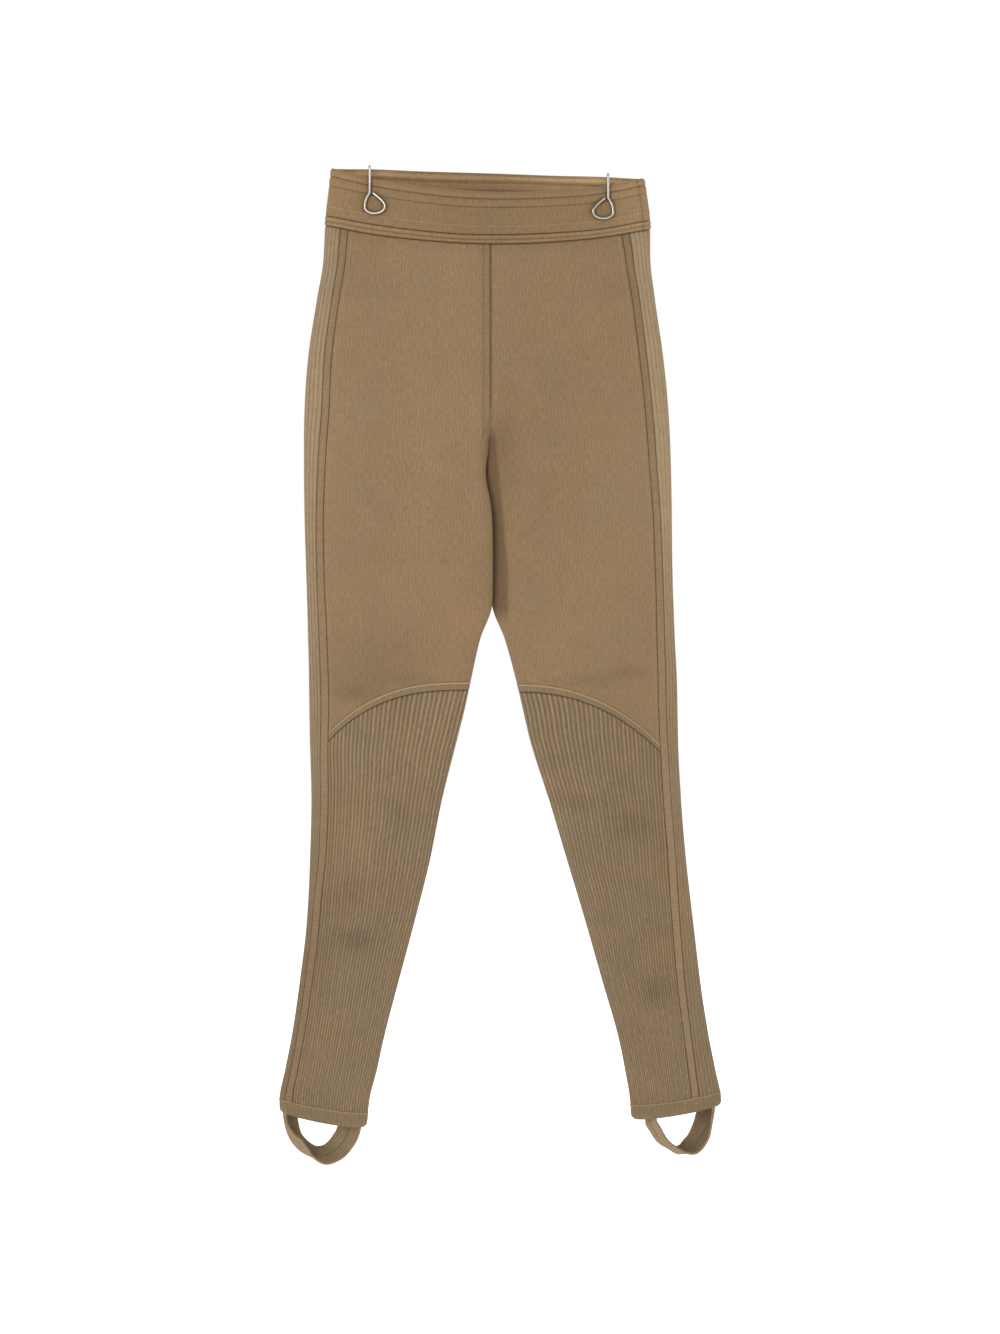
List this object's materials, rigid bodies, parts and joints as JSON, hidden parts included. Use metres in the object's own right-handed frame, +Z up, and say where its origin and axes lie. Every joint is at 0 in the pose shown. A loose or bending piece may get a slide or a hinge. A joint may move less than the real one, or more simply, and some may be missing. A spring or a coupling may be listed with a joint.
{
  "type": "rib-knit stirrup leggings on wire clips",
  "caption": "Long close-fitting knitted leggings with a wide waistband, ribbed sides and shins and stirrup straps, hung flat from spring-wire clips.",
  "frame": {"origin": "midway between the tops of the two wire clips, in the plane that the garment hangs in", "axes": "+Z up, along the hanging legs; +X to the right as seen from the front, across the waist; +Y from the front of the garment to its back"},
  "size_m": [0.4421, 0.0443, 0.9976],
  "materials": {
    "fine_knit": "matte fine vertical rib knit, warm camel tan",
    "coarse_rib": "matte coarse rib knit, greyer camel tan",
    "side_rib": "matte wide rib knit, light camel tan",
    "trim_knit": "matte flat knitted bands and tapes with raised stitched edges",
    "wire": "bright plated spring wire"
  },
  "bodies": {
    "root": {"back_hip_left": "fine_knit", "back_hip_right": "fine_knit", "back_shin_left": "fine_knit", "back_shin_right": "fine_knit", "back_thigh_left": "fine_knit", "back_thigh_right": "fine_knit", "centre_seam_strip": "trim_knit", "cuff_left": "trim_knit", "cuff_right": "trim_knit", "front_hip_left": "fine_knit", "front_hip_right": "fine_knit", "front_shin_left": "coarse_rib", "front_shin_right": "coarse_rib", "front_thigh_left": "fine_knit", "front_thigh_right": "fine_knit", "knee_band_left": "trim_knit", "knee_band_right": "trim_knit", "side_panel_hip_left": "side_rib", "side_panel_hip_right": "side_rib", "side_panel_shin_left": "side_rib", "side_panel_shin_right": "side_rib", "side_panel_thigh_left": "side_rib", "side_panel_thigh_right": "side_rib", "side_strip_hip_left": "trim_knit", "side_strip_hip_right": "trim_knit", "side_strip_shin_left": "trim_knit", "side_strip_shin_right": "trim_knit", "side_strip_thigh_left": "trim_knit", "side_strip_thigh_right": "trim_knit", "stirrup_left": "trim_knit", "stirrup_right": "trim_knit", "waistband_back": "trim_knit", "waistband_front": "trim_knit", "wire_clip_left": "wire", "wire_clip_right": "wire"}
  },
  "joints": []
}
